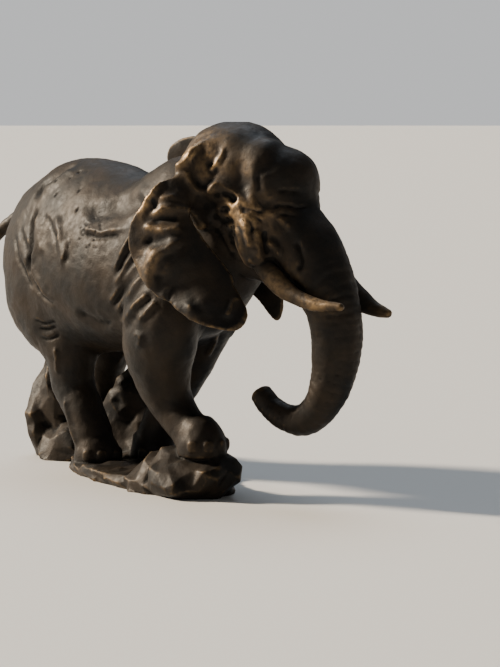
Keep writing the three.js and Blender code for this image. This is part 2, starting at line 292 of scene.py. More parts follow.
def finished(mesh, kind, **settings):
    """The mesh as one modifier leaves it."""
    obj = bpy.data.objects.new("working", mesh)
    bpy.context.scene.collection.objects.link(obj)
    modifier = obj.modifiers.new("finish", kind)
    for name, value in settings.items():
        setattr(modifier, name, value)
    graph = bpy.context.evaluated_depsgraph_get()
    result = bpy.data.meshes.new_from_object(obj.evaluated_get(graph))
    bpy.data.objects.remove(obj)
    bpy.data.meshes.remove(mesh)
    return result


class Clay:
    """A skin under the modeller's hands: its points in millimetres and the edges between them."""

    def __init__(self, mesh):
        self.mesh = mesh
        self.points = read(mesh.vertices, "co", 3)
        self.edges = read(mesh.edges, "vertices", 2, np.int32)
        self.valence = np.bincount(self.edges.ravel(), minlength=len(self.points)).clip(1)

    def normals(self):
        """The outward normal at each point."""
        self.mesh.vertices.foreach_set("co", self.points.ravel())
        self.mesh.update()
        return read(self.mesh.vertex_normals, "vector", 3)

    def spread(self, values):
        """Each point's mean of its neighbours' values."""
        a, b = self.edges.T
        n = len(self.points)
        columns = values.reshape(n, -1).T
        total = [np.bincount(a, c[b], n) + np.bincount(b, c[a], n) for c in columns]
        return (np.stack(total, axis=1) / self.valence[:, None]).reshape(values.shape)

    def fill(self, rounds, where=1.0):
        """Fills hollow seams: a point moves out towards its neighbours' mean, never in. The normals are
        measured again every fourth round."""
        for k in range(rounds):
            if k % 4 == 0:
                normals = self.normals()
            off = self.spread(self.points) - self.points
            out = np.einsum("ij,ij->i", off, normals).clip(0) * where
            self.points += normals * out[:, None]

    def ease(self, rounds):
        """Draws each point half-way to its neighbours' mean."""
        for _ in range(rounds):
            self.points += 0.5 * (self.spread(self.points) - self.points)

    def push(self, height):
        """Moves each point out along its normal by its own height."""
        self.points += self.normals() * height[:, None]

    def form(self):
        """The points and triangles."""
        self.normals()
        self.mesh.calc_loop_triangles()
        return self.points, read(self.mesh.loop_triangles, "vertices", 3, np.int32).astype(int)


def fused(forms, grain):
    """One closed skin round all the forms, of faces about `grain` across."""
    mesh = mesh_of("forms", *joined(forms))
    return Clay(finished(mesh, "REMESH", mode="VOXEL", voxel_size=grain))


STROKE_REACH = 4.5  # half widths from its line to where a stroke has died away
STROKE_TAPER = 0.18  # share of its line over which a stroke fades in, and out again
LINE_STRAYS = 0.8  # how far a hand-drawn line strays from its path
FULLY_FACING = 0.4  # cosine at which the skin faces the sheet enough for a stroke's full height


def stroke_height(flat, stroke):
    """Height of one stroke over points in its plane. Across the line, at the distance s, it is
    depth * (exp(-(s/w)^2) - lip * exp(-((s - 1.8w)/1.3w)^2)), and it dies away at both ends."""
    width, depth, lip, path = stroke
    s, share = along(flat, np.asarray(path, float), STROKE_REACH * width)
    near = np.isfinite(s)
    height = np.zeros(len(flat))
    s, share = s[near] / width, share[near]
    taper = smooth(share, 0, STROKE_TAPER) * smooth(1 - share, 0, STROKE_TAPER)
    height[near] = depth * taper * (np.exp(-s**2) - lip * np.exp(-(((s - 1.8) / 1.3) ** 2)))
    return height


def drawn(clay, turn, hand, strokes):
    """Height of strokes that are drawn on a sheet held upright before the skin. The sheet's normal is
    turned by `turn` degrees from the animal's right side towards its front, and (across, up) are the
    strokes' coordinates on it. `hand` -1 holds the sheet's mirror image before the left side."""
    c, s = np.cos(np.radians(turn)), np.sin(np.radians(turn))
    x, y, z = (clay.points * [1, hand, 1]).T
    flat = np.stack([c * x + s * y, z], axis=1)
    wobble = np.stack([noise(clay.points, 9, seed) for seed in (11, 12)], axis=1)
    strayed = flat + LINE_STRAYS * wobble
    facing = clay.normals() @ np.array([s, -c * hand, 0])
    total = sum(stroke_height(strayed, stroke) for stroke in strokes)
    return total * smooth(facing, 0.0, FULLY_FACING)


# ---- the body ----

TORSO = [
    [-150, 0, 153, 20, 27],
    [-137, 0, 155, 38.5, 48],
    [-111, 0, 152.5, 48, 61.5],
    [-80, 0, 151, 51, 67.5],
    [-45, 0, 149.5, 53, 66.5],
    [-10, 0, 147, 52, 61],
    [15, 0, 148, 48, 58],
    [40, 0, 157, 42, 61],
    [60, 0, 164, 36, 61],
    [80, 0, 172, 31, 53],
    [100, 1, 184, 27, 42],
]

LEGS = {
    "fore right": [
        [56, -22, 149, 18, 30],
        [62, -29, 129, 21, 32],
        [64, -31.5, 111, 22.5, 31],
        [60, -30, 90, 21.5, 27.5],
        [61.5, -27, 70, 17, 19.5],
        [68, -23, 55, 13.8, 14.5],
        [79, -20.5, 44, 13, 13.5],
        [88, -19, 37, 13.5, 14],
    ],
    "fore left": [
        [50, 20, 151, 17, 30],
        [37, 26, 129, 20, 30],
        [22, 27, 105, 19, 25],
        [14, 26, 87, 16.5, 20],
        [6, 25, 72, 14.5, 16.5],
        [-4, 23.5, 58, 13.3, 14.5],
        [-16, 22, 41, 13, 14],
        [-25, 21, 25, 14, 15],
    ],
    "hind right": [
        [-100, -20, 156, 22, 38],
        [-96, -26, 131, 25, 45],
        [-84, -26.5, 110, 22.5, 38],
        [-73.5, -25, 94, 19, 26.5],
        [-68, -24, 82, 17.5, 22],
        [-68, -23, 72, 16, 19],
        [-69, -22, 62, 15, 17],
        [-63, -21.5, 53, 14.3, 15.8],
        [-56, -21, 45, 13.8, 15],
        [-50, -20.5, 35, 13.6, 14.5],
        [-45, -19.5, 25, 14, 15],
    ],
    "hind left": [
        [-106, 20, 151, 22, 38],
        [-104, 26, 129, 24.5, 40],
        [-100, 26.5, 105, 21, 31],
        [-100, 25.5, 83, 17.5, 22],
        [-104, 24, 64, 14.8, 17],
        [-101, 23, 46, 13.6, 14.8],
        [-95, 22, 29, 14, 15],
    ],
}

# The soles' middles: [x, y, height of the ground under them].
FEET = [[94, -18.5, RISE], [-30, 20.5, GROUND], [-41, -18.5, GROUND], [-92, 21.5, GROUND]]
# A foot's sections from the ankle down: [x and z from the sole's middle, half breadth, half depth].
FOOT = [[-6, 16, 11.5, 12], [-2, 10, 14.4, 15.4], [0, 4, 16, 17.6], [0, -3, 15.6, 17]]
NAILS = [-58, -20, 20, 58]  # the toenails' turns round a foot's front
NAIL_OUT = (16.5, 15.0)  # from the sole's middle to a nail straight ahead, and to one at the side
NAIL_UP = 4.0
NAIL_HALF = [2.4, 4.0, 4.4]

TAIL = [
    [-146, -2, 181, 8, 9],
    [-158, -7, 177, 6, 7],
    [-170, -12, 171, 4.8, 5.2],
    [-181, -18, 162, 4.2, 4.2],
    [-190, -23, 147, 3.6, 3.6],
    [-193, -25, 125, 3.2, 3.2],
    [-190, -24, 107, 4.6, 4.6],
    [-186, -22, 91, 2.6, 2.6],
]

# Folds of the skin as drawn on a sheet before the right side: (half width, height, lip, line). A fold
# of negative height is a crease, and its lip lies on the left of the way that its line runs.
BODY_TURN = 56
BODY_DRAWN = (1.3, 0.8)  # how strongly they are drawn on the right side and on the left
BODY_FOLDS = [
    # hindquarters
    (1.8, -2.3, 0.5, [(-53, 215), (-62, 211), (-71, 204), (-78, 198), (-82, 187)]),
    (1.8, -2.3, 0.5, [(-79, 184), (-83, 177), (-84, 160), (-86, 146), (-83, 135), (-75, 123), (-64, 118)]),
    (1.5, -1.3, 0.4, [(-99, 166), (-95, 152), (-90, 139), (-81, 126)]),
    (1.4, -1.1, 0.4, [(-94, 171), (-89, 158), (-85, 146)]),
    # flank
    (2.4, 1.5, 0.2, [(-65, 182), (-63, 173), (-61, 163), (-60, 153), (-60, 142)]),
    (1.6, 1.1, 0.2, [(-57, 165), (-57, 157), (-58, 149)]),
    (2.4, 1.3, 0.2, [(-76, 173), (-77, 162), (-75, 152)]),
    (1.1, -1.0, 0.3, [(-76, 180), (-69, 174), (-65, 165), (-64, 154)]),
    (3.0, -1.6, 0.0, [(-51, 116), (-36, 109), (-24, 107)]),
    # behind the neck, and the shelf of the shoulder
    (5.5, -2.2, 0.0, [(-46, 183), (-33, 183), (-19, 186), (-8, 190), (0, 195)]),
    (2.6, 0.9, 0.2, [(-10, 176), (-27, 171), (-38, 171), (-46, 172)]),
    (2.0, -1.2, 0.0, [(-44, 168), (-32, 167), (-18, 169)]),
    # the long folds between shoulder and ear
    (2.0, 1.6, 0.6, [(-7, 174), (-15, 160), (-23, 143)]),
    (2.0, 1.6, 0.6, [(-5, 162), (-13, 149), (-23, 133)]),
    (2.0, 1.6, 0.6, [(-3, 154), (-15, 139), (-26, 123)]),
    (2.0, 1.6, 0.6, [(0, 147), (-11, 132), (-22, 117)]),
    (2.0, 1.6, 0.6, [(3, 134), (-6, 125), (-19, 108)]),
    # elbow, chest, knee and hock
    (2.2, 1.3, 0.2, [(8, 129), (2, 123), (-5, 114)]),
    (2.2, 1.2, 0.2, [(-8, 108), (-3, 104), (-5, 97)]),
    (1.3, 1.5, 0.3, [(47, 105), (44, 93), (39, 84)]),
    (1.2, -1.2, 0.5, [(-84, 107), (-75, 104), (-65, 106)]),
    (1.2, -1.1, 0.5, [(-81, 100), (-73, 100), (-65, 102)]),
    (1.2, -1.1, 0.5, [(-79, 93), (-71, 93), (-64, 96)]),
    (1.6, 1.3, 0.2, [(-68, 87), (-66, 77), (-67, 68)]),
    (1.4, 1.1, 0.2, [(-62, 52), (-59, 42), (-56, 29), (-52, 18)]),
]


def foot(at):
    """A foot: four sections from the ankle down to just below the sole, which sinks into the ground."""
    x, y, z = at
    stations = [[x + ahead, y, z + up, broad, deep] for ahead, up, broad, deep in FOOT]
    return loft(stations, around=48, along_it=16, ends=(4, 2))


def nail(at, turn):
    """A toenail: a lump that stands half out of the foot's front at the given turn."""
    c, s = np.cos(np.radians(turn)), np.sin(np.radians(turn))
    place = np.asarray(at, float) + [NAIL_OUT[0] * c, NAIL_OUT[1] * s, NAIL_UP]
    return moved(lump([0, 0, 0], NAIL_HALF, 2.6, around=20, levels=14), upright_turn(turn), place)


def body():
    """Trunk of the body, legs, feet and tail, with the seams filled and the folds of the skin."""
    forms = [loft(TORSO, around=120, along_it=180, ends=(10, 14), keel=0.17)]
    forms += [loft(leg, around=80, along_it=110, ends=(8, 4)) for leg in LEGS.values()]
    forms += [foot(at) for at in FEET]
    clay = fused(forms, COARSE)
    clay.fill(60)
    clay.ease(2)
    right, left = (drawn(clay, BODY_TURN, hand, BODY_FOLDS) for hand in (1, -1))
    clay.push(BODY_DRAWN[0] * right + BODY_DRAWN[1] * left)
    tail = loft(TAIL, around=24, along_it=60, ends=(3, 5))
    return [clay.form(), tail] + [nail(at, turn) for at in FEET for turn in NAILS]


# ---- the head, in its own frame: x forward, y left, z up from between the eyes ----

SKULL = [[5, 0, 12], [40.5, 31.5, 41]]  # middle and half sizes

TRUNK = [
    [27, 0, 20, 25, 18],
    [39, 0, 11, 26.5, 28.5],
    [50, 0, -8, 22.5, 19],
    [63, 0.5, -28, 22.5, 22.5],
    [75, 1.5, -47, 20.5, 21],
    [83.5, 3, -65, 18, 18],
    [86, 4.2, -80, 17, 17],
    [86, 5.4, -94, 15.7, 16],
    [82.6, 6.8, -111, 14, 14.2],
    [74.4, 8, -128, 12.2, 12],
    [61, 8.7, -138, 10.6, 10.4],
    [47.3, 8.5, -137.5, 9.2, 9.2],
    [34.6, 8, -131.4, 8.4, 8],
    [25.7, 7.6, -122.4, 8, 7.2],
]

TUSK_RIGHT = [
    [32, 17, -18, 9, 9],
    [43.8, 21, -37.6, 7, 7],
    [59.3, 22, -51.7, 6.2, 6.4],
    [75.8, 23.5, -59.6, 5, 5.2],
    [92, 25, -63, 4.2, 4.2],
    [109, 26.5, -63.5, 2.6, 2.6],
]
# The left tusk leaves a heavier fold of the lip, and droops.
TUSK_LEFT = [
    [34, 17, -20, 10, 10],
    [48, 21, -35, 10, 11],
    [63, 24, -46.5, 10, 12],
    [77, 25.5, -54, 8.6, 11],
    [90, 26, -60.5, 6.2, 7.6],
    [101, 26.3, -65, 4, 4.6],
    [110, 26.5, -67, 2.6, 2.6],
]

SOCKET = [
    [28, 16, 2, 14, 16],
    [34, 19, -14, 14, 15],
    [40, 21, -29, 12, 12.5],
    [44, 21.5, -37, 9.5, 10],
]

JAW = [
    [2, 0, -18, 25, 23],
    [18, 0, -32, 19, 17],
    [34, 0, -42, 11, 10],
    [46, 0, -48, 6, 6],
]

EAR_RIGHT = {
    "outline": [
        [-2, 16], [-18, 13], [-29, -2], [-37, -17], [-36.5, -33], [-28, -47], [-14, -62], [-3, -66],
        [14, -75.5], [29, -80.5], [42, -81.5], [45, -72], [36, -56], [26, -41], [11, -24], [0, -8],
    ],
    "middle": [-6, -36],
}
EAR_LEFT = {
    "outline": [
        [4, 22], [-34, 40], [-68, 46.5], [-87, 44], [-98, 34], [-92, 14], [-76, -12], [-56, -34],
        [-36, -51], [-15, -62], [2, -77], [9, -66], [12, -48], [18, -28], [20, -6],
    ],
    "middle": [-28, -8],
}

EAR_THICK = (5.2, 3.0)  # thickness of an ear in its middle and at its rim
EAR_STARTS = (-6, 28)  # [x, z] of a point on the line along which an ear leaves the head
EAR_BACKWARDS = (-0.85, -0.526)  # the way across that line, towards the back
EAR_OUT = 24  # how far that line lies from the middle plane
EAR_SWING = 36  # how much farther an ear can swing out
EAR_BEND = 22  # distance behind the line over which it does most of that
EAR_BENT = 1.3  # how strongly its folds bend its sheet
EAR_DRAWN = 0.45  # how strongly they are drawn once more on the skin, which sharpens them

# The cord that runs from the temple down the ear's root, the brow over the eye, and the eyeball's middle,
# all on the left side and mirrored to the right.
EAR_ROOT = [
    [0, 17, 39, 6, 5],
    [-7, 25, 31, 8, 6],
    [-12, 32, 19, 8, 6],
    [-8, 35, 6, 6.5, 6],
    [-4, 33, -4, 6, 5.5],
    [2, 31, -16, 4, 4],
]
BROWS = [
    [2, 30, 6, 2, 2],
    [10, 31.5, 6, 3.2, 3.2],
    [18, 31, 4.5, 3.6, 3.4],
    [26, 28.5, -2, 3, 3],
    [29, 27, -10, 2, 2],
]
EYE = (17.0, 25.6, -3.6)
EYE_RADIUS = 3.2

# The swellings of the forehead, middle and half sizes, and the seams of the forehead and of the temples
# that are filled more than the rest, [x, y, z, share].
FOREHEAD_RIGHT = [[33, -9, 18], [18, 18.5, 24]]
FOREHEAD_LEFT = [[30, 7, 16], [14, 15, 20]]
FILLED = [[29, -14, 27, 1.0], [29, 14, 27, 0.5], [-4, -28, 24, 1.0], [-4, 28, 24, 1.0]]
FILLED_ROUNDS = 150
FILLED_REACH = 28  # distance at which that filling ends
FILLED_FADE = 12  # distance before it over which it fades

# Creases round the trunk, by the share of the way down it.
TRUNK_REACH = 40  # farther from the trunk's middle line than any of its skin
CREASES = 46
CREASED_FROM = (0.22, 0.34)  # where they begin, and where they have their full depth
CREASED_TO = 0.995
CREASE_DEPTH = 0.95
NOSTRIL_DEPTH = 5  # of the hollow in the trunk's tip
NOSTRIL_RADIUS = 4.5

# Folds of the head and ears, as drawn on a sheet before the right of the face.
HEAD_TURNED = 36
HEAD_FOLDS = [
    # temple
    (2.2, 1.6, 0.2, [(-20, 40), (-26, 30), (-30, 24), (-41, 19), (-46, 8), (-52, -2), (-56, -15)]),
    (2.0, 1.5, 0.3, [(-30, 24), (-27, 14), (-22, 7), (-15, 5), (-10, 9), (-5, 14)]),
    (1.8, 1.5, 0.2, [(-4, 36), (-6, 30), (-9, 24), (-14, 19)]),
    # brow, eyelids and the folds under the eye
    (3.0, 2.0, 0.2, [(-15, 5), (-8, 10), (-1, 9), (6, 3), (10, -6)]),
    (1.6, -2.2, 0.0, [(-12, 1), (-6, 5), (1, 4), (6, -1)]),
    (1.5, 1.5, 0.0, [(-9, -7), (-5.5, -2.5), (-1.5, -1), (2.5, -2.5), (6, -7)]),
    (1.2, 1.0, 0.0, [(-8, -6), (-2, -8), (5, -6)]),
    (1.4, -1.5, 0.0, [(-10, -8), (-3, -11.5), (5, -9)]),
    (1.2, -1.3, 0.5, [(-11, -8), (-3, -13), (7, -10)]),
    (1.1, -1.2, 0.4, [(8, -3), (15, -5), (23, -6)]),
    (1.1, -1.1, 0.4, [(8, -5), (16, -9), (22, -12)]),
    (1.1, -1.2, 0.4, [(8, -8), (13, -13), (17, -19)]),
    # forehead and the root of the trunk
    (3.4, 0.8, 0.0, [(15, 29), (16, 18), (17, 7)]),
    (3.0, 0.9, 0.0, [(21, 20), (24, 9), (27, 1)]),
    (4.0, -1.0, 0.0, [(6, 28), (7, 17), (11, 7)]),
    (1.3, -1.0, 0.0, [(18, 18), (20, 7)]),
    (1.1, -1.3, 0.15, [(30, 7), (38, 8), (47, 8)]),
    (1.1, -1.4, 0.15, [(28, -2), (37, -1), (46, -2), (52, -1)]),
    (1.0, -1.0, 0.15, [(29, -8), (37, -7), (45, -8)]),
    # cheek and tusk socket
    (2.0, 1.2, 0.0, [(22, -5), (30, -7), (37, -12), (42, -18)]),
    (1.8, 1.8, 0.0, [(11, -13), (13, -21), (16, -30)]),
    (3.0, 2.4, 0.2, [(17, -17), (19, -26), (21, -37)]),
    (1.3, -1.6, 0.0, [(23, -17), (25, -26), (27, -33)]),
    (1.2, -1.4, 0.0, [(15, -15), (17, -25), (20, -33)]),
    (1.6, 1.6, 0.0, [(14, -35), (19, -38), (26, -35)]),
    (1.8, -2.2, 0.0, [(43, -22), (46, -29), (48, -37), (45, -43)]),
    (1.8, 1.4, 0.3, [(25, -24), (31, -28), (35, -34)]),
    (1.2, -1.2, 0.4, [(42, -46), (46, -51), (52, -55)]),
    (2.0, 1.4, 0.4, [(-2, -16), (1, -24), (6, -33)]),
    (1.8, 1.2, 0.4, [(4, -14), (7, -23), (11, -32)]),
]
EAR_FOLDS = [
    # the bar across the ear's upper half, the fold that sweeps down from it, and their hollows
    (2.8, 2.6, 0.3, [(-54, -17), (-48, -19), (-40, -20), (-33, -19), (-28, -18)]),
    (1.7, 1.6, 0.3, [(-51, -14), (-46, -9), (-40, -6), (-32, -5), (-24, -7), (-17, -12)]),
    (2.0, -1.6, 0.0, [(-48, -15), (-40, -13), (-30, -12)]),
    (3.0, 2.6, 0.3, [(-25, -22), (-31, -28), (-38, -32), (-44, -37), (-47, -44), (-48, -53), (-46, -63)]),
    (3.0, -2.4, 0.0, [(-52, -25), (-48, -28), (-43, -29), (-35, -25)]),
    (1.0, 0.9, 0.2, [(-49, -33), (-44, -31), (-36, -28)]),
    # the lobe and its rolled rim
    (1.6, -1.8, 0.3, [(-36, -65), (-35, -60), (-31, -54)]),
    (2.0, 1.6, 0.3, [(-24, -66), (-19, -70), (-15, -76)]),
    (1.6, -1.2, 0.0, [(-27, -66), (-23, -72)]),
    (2.3, 2.0, 0.3, [(9, -60), (5, -66), (2, -74)]),
    (1.8, -1.2, 0.0, [(4, -61), (0, -71)]),
    (1.7, 1.0, 0.0, [(-34, -66), (-27, -70), (-18, -76), (-6, -80), (5, -81), (12, -75), (13, -68)]),
    # the plane above the bar, and the cord along the front edge
    (1.2, 1.1, 0.4, [(-44, -1), (-37, 2), (-30, 0), (-26, -4)]),
    (1.2, 1.0, 0.4, [(-34, 6), (-29, 3), (-26, -2)]),
    (1.8, 1.4, 0.3, [(-16, -13), (-10, -20), (-4, -32), (7, -44), (11, -56)]),
]

# Dents and swellings of the face: [x, y, z, radius, height], and of an ear: [x, z, radius, height].
FACE_DENTS = [
    [9, -29, 22, 5, -1.4], [14, -28, 33, 6, -1.2], [-3, -30, 6, 6, -1.6],
    [17, -30, -3, 8, -1.8], [7, -31, -3, 6, -2.2], [27, -30, 3, 5, -1.0],
    [36, -26, -12, 9, 1.6], [26, -30, -18, 6, -1.6], [40, -27, 4, 7, 1.2],
]
EAR_DENTS = [
    [-20, -21, 9, -3.2], [-8, -36, 13, 3.0], [-28, -38, 8, -2.4], [4, -54, 10, -1.6], [12, -70, 9, 1.6],
    [-12, 2, 9, 2.4], [-24, -7, 7, -2.6], [-16, -56, 8, -2.0], [22, -66, 8, 1.8],
]


def ear_reach(x, z):
    """How far an ear stands out from the middle plane. It leaves the head along a line from the temple
    to the cheek, and behind, at the distance q, it has swung out by swing * (1 - exp(-q / bend))."""
    q = EAR_BACKWARDS[0] * (x - EAR_STARTS[0]) + EAR_BACKWARDS[1] * (z - EAR_STARTS[1])
    q = np.maximum(q, -8)
    swung = EAR_SWING * (1 - np.exp(-np.maximum(q, 0) / EAR_BEND))
    return EAR_OUT + np.where(q > 0, swung, q)


def ear(shape, folds):
    """A right ear: a leaf of metal, thickest in its middle and thin at its rim. Its folds and dents bend
    the whole sheet, so they show on its back as well."""
    c, s = np.cos(np.radians(HEAD_TURNED)), np.sin(np.radians(HEAD_TURNED))

    def place(x, z):
        reach = ear_reach(x, z)
        flat = np.stack([(c * x - s * reach).ravel(), z.ravel()], axis=1)
        bent = sum((stroke_height(flat, stroke) for stroke in folds), np.zeros(len(flat)))
        lift = EAR_BENT * bent.reshape(x.shape)
        for at_x, at_z, radius, height in EAR_DENTS:
            lift = lift + height * np.exp(-(((x - at_x) ** 2 + (z - at_z) ** 2) / radius**2))
        return np.stack([x, -(reach + lift), z], axis=-1)

    def thickness(share):
        return EAR_THICK[0] + (EAR_THICK[1] - EAR_THICK[0]) * share**2

    return leaf(shape["outline"], shape["middle"], place, thickness)


def tusk(stations):
    """A tusk carried along its stations, with a blunt tip."""
    return loft(stations, around=32, along_it=60, ends=(2, 2.6))


def dented(points):
    """Height of the face's dents and swellings, each height * bell, on both sides alike."""
    total = np.zeros(len(points))
    other_side = points * [1, -1, 1]
    for x, y, z, radius, height in FACE_DENTS:
        for side in (points, other_side):
            total += height * bell(side - [x, y, z], radius)
    return total


def trunk_rings(points):
    """Fine creases round the trunk, about 5 mm apart and of uneven depth: the tops of a cosine along it,
    which wobbles by half a crease."""
    line = np.array(TRUNK, float)[:, :3]
    away, share = along(points, line, TRUNK_REACH)
    on_trunk = np.isfinite(away) & (share > CREASED_FROM[0]) & (share < CREASED_TO)
    wobble = 0.5 * noise(points, 12, 21)
    wave = np.cos(2 * np.pi * (CREASES * share + wobble))
    crease = -np.clip(wave - 0.3, 0, 1) * CREASE_DEPTH
    strength = 0.45 + 0.55 * smooth(noise(points, 18, 22), -0.4, 0.4)
    return np.where(on_trunk, crease * strength * smooth(share, *CREASED_FROM), 0)


def head():
    """Skull, trunk, jaw, sockets and ears as one skin with its folds, and the tusks and eyes."""
    forms = [lump(*SKULL, 2.2, around=96, levels=64)]
    forms.append(loft(TRUNK, around=72, along_it=150, ends=(8, 1.5)))
    forms.append(loft(JAW, ends=(10, 5)))
    forms += both(loft(SOCKET, ends=(6, 3)))
    forms += both(loft(BROWS, around=24, along_it=40, ends=(2, 2)))
    forms += both(loft(EAR_ROOT, around=32, ends=(3, 3)))
    forms += [lump(*side, 2.4, around=64, levels=48) for side in (FOREHEAD_RIGHT, FOREHEAD_LEFT)]
    clay = fused(forms, COARSE)
    clay.fill(30)
    for x, y, z, share in FILLED:
        away = np.linalg.norm((clay.points - [x, y, z]) / [1, 0.8, 1], axis=1)
        clay.fill(FILLED_ROUNDS, share * smooth(FILLED_REACH - away, 0, FILLED_FADE))
    clay = fused([clay.form(), mirrored(ear(EAR_LEFT, [])), ear(EAR_RIGHT, EAR_FOLDS)], COARSE)
    clay.fill(14)
    for hand, folds, strength in ((1, HEAD_FOLDS, 1), (-1, HEAD_FOLDS, 1), (1, EAR_FOLDS, EAR_DRAWN)):
        clay.push(drawn(clay, HEAD_TURNED, hand, folds) * strength)
    clay.push(dented(clay.points))
    clay.push(trunk_rings(clay.points))
    nostrils = np.array(TRUNK[-1][:3]) - [2, 0, 0]
    clay.push(-NOSTRIL_DEPTH * bell(clay.points - nostrils, NOSTRIL_RADIUS, power=4))
    tusks = [mirrored(tusk(TUSK_RIGHT)), tusk(TUSK_LEFT)]
    eyes = both(lump(EYE, [EYE_RADIUS] * 3, around=28, levels=18))
    return [clay.form()] + tusks + eyes


def head_matrix():
    """The head's frame: leant about x, then turned about z."""
    c, s = np.cos(np.radians(HEAD_LEAN)), np.sin(np.radians(HEAD_LEAN))
    return upright_turn(HEAD_TURN) @ np.array([[1, 0, 0], [0, c, -s], [0, s, c]])


def in_head(points):
    """The points in the head's own frame."""
    return (points - HEAD_AT) @ head_matrix()


# ---- the ground ----

GROUND_PLAN = [
    [104, -34], [105, -18], [96, -4], [75, 16], [40, 35], [0, 46], [-60, 48], [-105, 42], [-124, 28],
    [-124, 12], [-92, -8], [-58, -30], [-20, -42], [40, -47], [88, -46],
]
PLAN_MIDDLE = -8  # x of the point that the plan shrinks towards
# The boulders: [middle, half sizes, turn].
ROCKS = [
    [[88, -20, 12], [31, 28, 19], 15],
    [[60, -24, 4], [26, 22, 20], 70],
    [[-139, 8, 29], [20, 26, 47], 30],
    [[-114, 4, 6], [22, 22, 22], 10],
    [[-60, 26, 21], [30, 17, 46], 200],
]
STONE_ROUGH = [(2.2, 17, 31), (1.5, 7, 32)]  # its roughness: height, size and seed of each layer


def ground_slab():
    """The ground's slab: its closed plan grown or shrunk from level to level, its rim broken by waves,
    1 + 0.03 * sin(2.1 i + 3 k) + 0.02 * sin(3.7 i + k) of the turn i and the level k."""
    around, rows = 240, 40
    rim = curve(GROUND_PLAN, np.linspace(0, 1, around, endpoint=False), closed=True)
    z = np.array([0, 3, 6, GROUND - 1, GROUND])
    grow = np.array([0.97, 1, 0.99, 0.94, 0.6])
    levels = curve(np.stack([z, grow], axis=1), np.linspace(0, 1, rows))
    i = np.arange(around) * 44 / around
    k = np.linspace(0, 4, rows)[:, None]
    wave = 1 + 0.03 * np.sin(2.1 * i + 3 * k) + 0.02 * np.sin(3.7 * i + k)
    size = levels[:, 1, None] * wave
    x = PLAN_MIDDLE + (rim[:, 0] - PLAN_MIDDLE) * size
    rings = np.stack([x, rim[:, 1] * size, levels[:, 0, None] + 0 * size], axis=-1)
    return skin(rings, [PLAN_MIDDLE, 0, 0], [PLAN_MIDDLE, 0, GROUND])


def rock(at, half, turn):
    """A boulder: a ball of the radius 1 + 0.09 * sin(4 x + 3 z + turn) + 0.06 * sin(7 y - 5 z), drawn
    out to its half sizes."""
    points, faces = lump([0, 0, 0], [1, 1, 1], around=64, levels=48)
    x, y, z = points.T
    points = points * (1 + 0.09 * np.sin(4 * x + 3 * z + turn) + 0.06 * np.sin(7 * y - 5 * z))[:, None]
    return moved((points * half, faces), upright_turn(turn), np.asarray(at, float))


def ground():
    """Slab and boulders, roughened above the flat underside and then cut into facets like broken stone."""
    clay = fused([ground_slab()] + [rock(*one) for one in ROCKS], COARSE)
    above = smooth(clay.points[:, 2], 1, 6)
    clay.push(above * dabs(clay.points, STONE_ROUGH))
    clay.normals()
    mesh = finished(clay.mesh, "TRIANGULATE")
    mesh = finished(mesh, "DECIMATE", ratio=STONE_FACETS / len(mesh.polygons))
    return [Clay(mesh).form()]


# ---- the casting ----

# The animal's worked surface and the tool's marks on its head: height, size and seed of each layer.
WORKED = [(0.45, 13, 41), (0.28, 6.5, 42), (0.16, 3.2, 43)]
TOOL_MARKS = [(0.8, 5.0, 45), (0.4, 2.4, 46)]
TOOL_WAY = (0.55, 0.0, -0.835)  # the way that the tool was drawn over the head
TOOL_SQUEEZE = 0.6  # share by which places are squeezed that way, so that its marks are long

# Small nicks of a tool on the back and flank: [x, y, z].
NICK_DEPTH = 1.2
NICK_RADIUS = 1.3
NICKS = [
    [-70, -18, 216], [-62, -27, 207], [-58, -22, 209], [-66, -36, 194], [-40, -32, 196], [-50, -20, 207],
    [-30, -40, 184], [-34, -22, 200], [-76, -30, 204], [-24, -30, 192], [-88, 20, 208], [-40, 34, 192],
]
# Places where the skin is pitted: [x, y, z, radius].
PIT_DEPTH = 0.6
PITTED = [[-4, -46, 168, 16], [52, -68, 138, 9], [128, -22, 176, 12], [60, -40, 100, 8]]

# Places on the head that the modeller worked hardest and that hands have since rubbed, in the head's
# frame. The patina also lightens them as painted highlight where the key light falls, most on the right
# side: [x, y, z, radius, how rubbed and painted lit, how rugged].
RUBBED_AND_LIT = [
    # the right temple, cheek and socket
    [-4, -28, 30, 15, 0.9, 1], [8, -30, 20, 9, 0.9, 1], [36, -26, -10, 13, 1, 1],
    [30, -27, -4, 9, 1, 1], [44, -24, -14, 11, 0.9, 1], [32, -22, -30, 8, 1, 0.6],
    # the right ear's folds
    [-20, -44, -18, 11, 1, 1], [-26, -50, -4, 10, 0.9, 1], [-18, -52, -40, 10, 0.9, 1],
    # the forehead's right side, and the right tusk
    [28, -22, 20, 8, 0.7, 0.4], [60, -22, -52, 12, 0.4, 0], [90, -25, -63, 10, 0.5, 0],
    # the left temple, cheek and tusk
    [-4, 28, 32, 12, 0.7, 1], [36, 26, -10, 10, 0.7, 1], [60, 22, -50, 12, 0.4, 0],
]
FLAT_BELOW = 0.6  # height under which the underside is made flat


def rubbed_and_lit(points):
    """How rubbed and painted lit, and how rugged each point is: the greatest share * bell of all the
    places.
    """
    inside = in_head(points)
    most = np.zeros((2, len(points)))
    for x, y, z, radius, worn_and_highlit, rugged in RUBBED_AND_LIT:
        near = bell(inside - [x, y, z], radius)
        most = np.maximum(most, [worn_and_highlit * near, rugged * near])
    return most


def tool_marks(points):
    """Height of the tool's marks: noise at points squeezed along the tool's way, which draws it out."""
    inside = in_head(points)
    way = np.array(TOOL_WAY)
    squeezed = inside - TOOL_SQUEEZE * (inside @ way)[:, None] * way
    return dabs(squeezed, TOOL_MARKS)


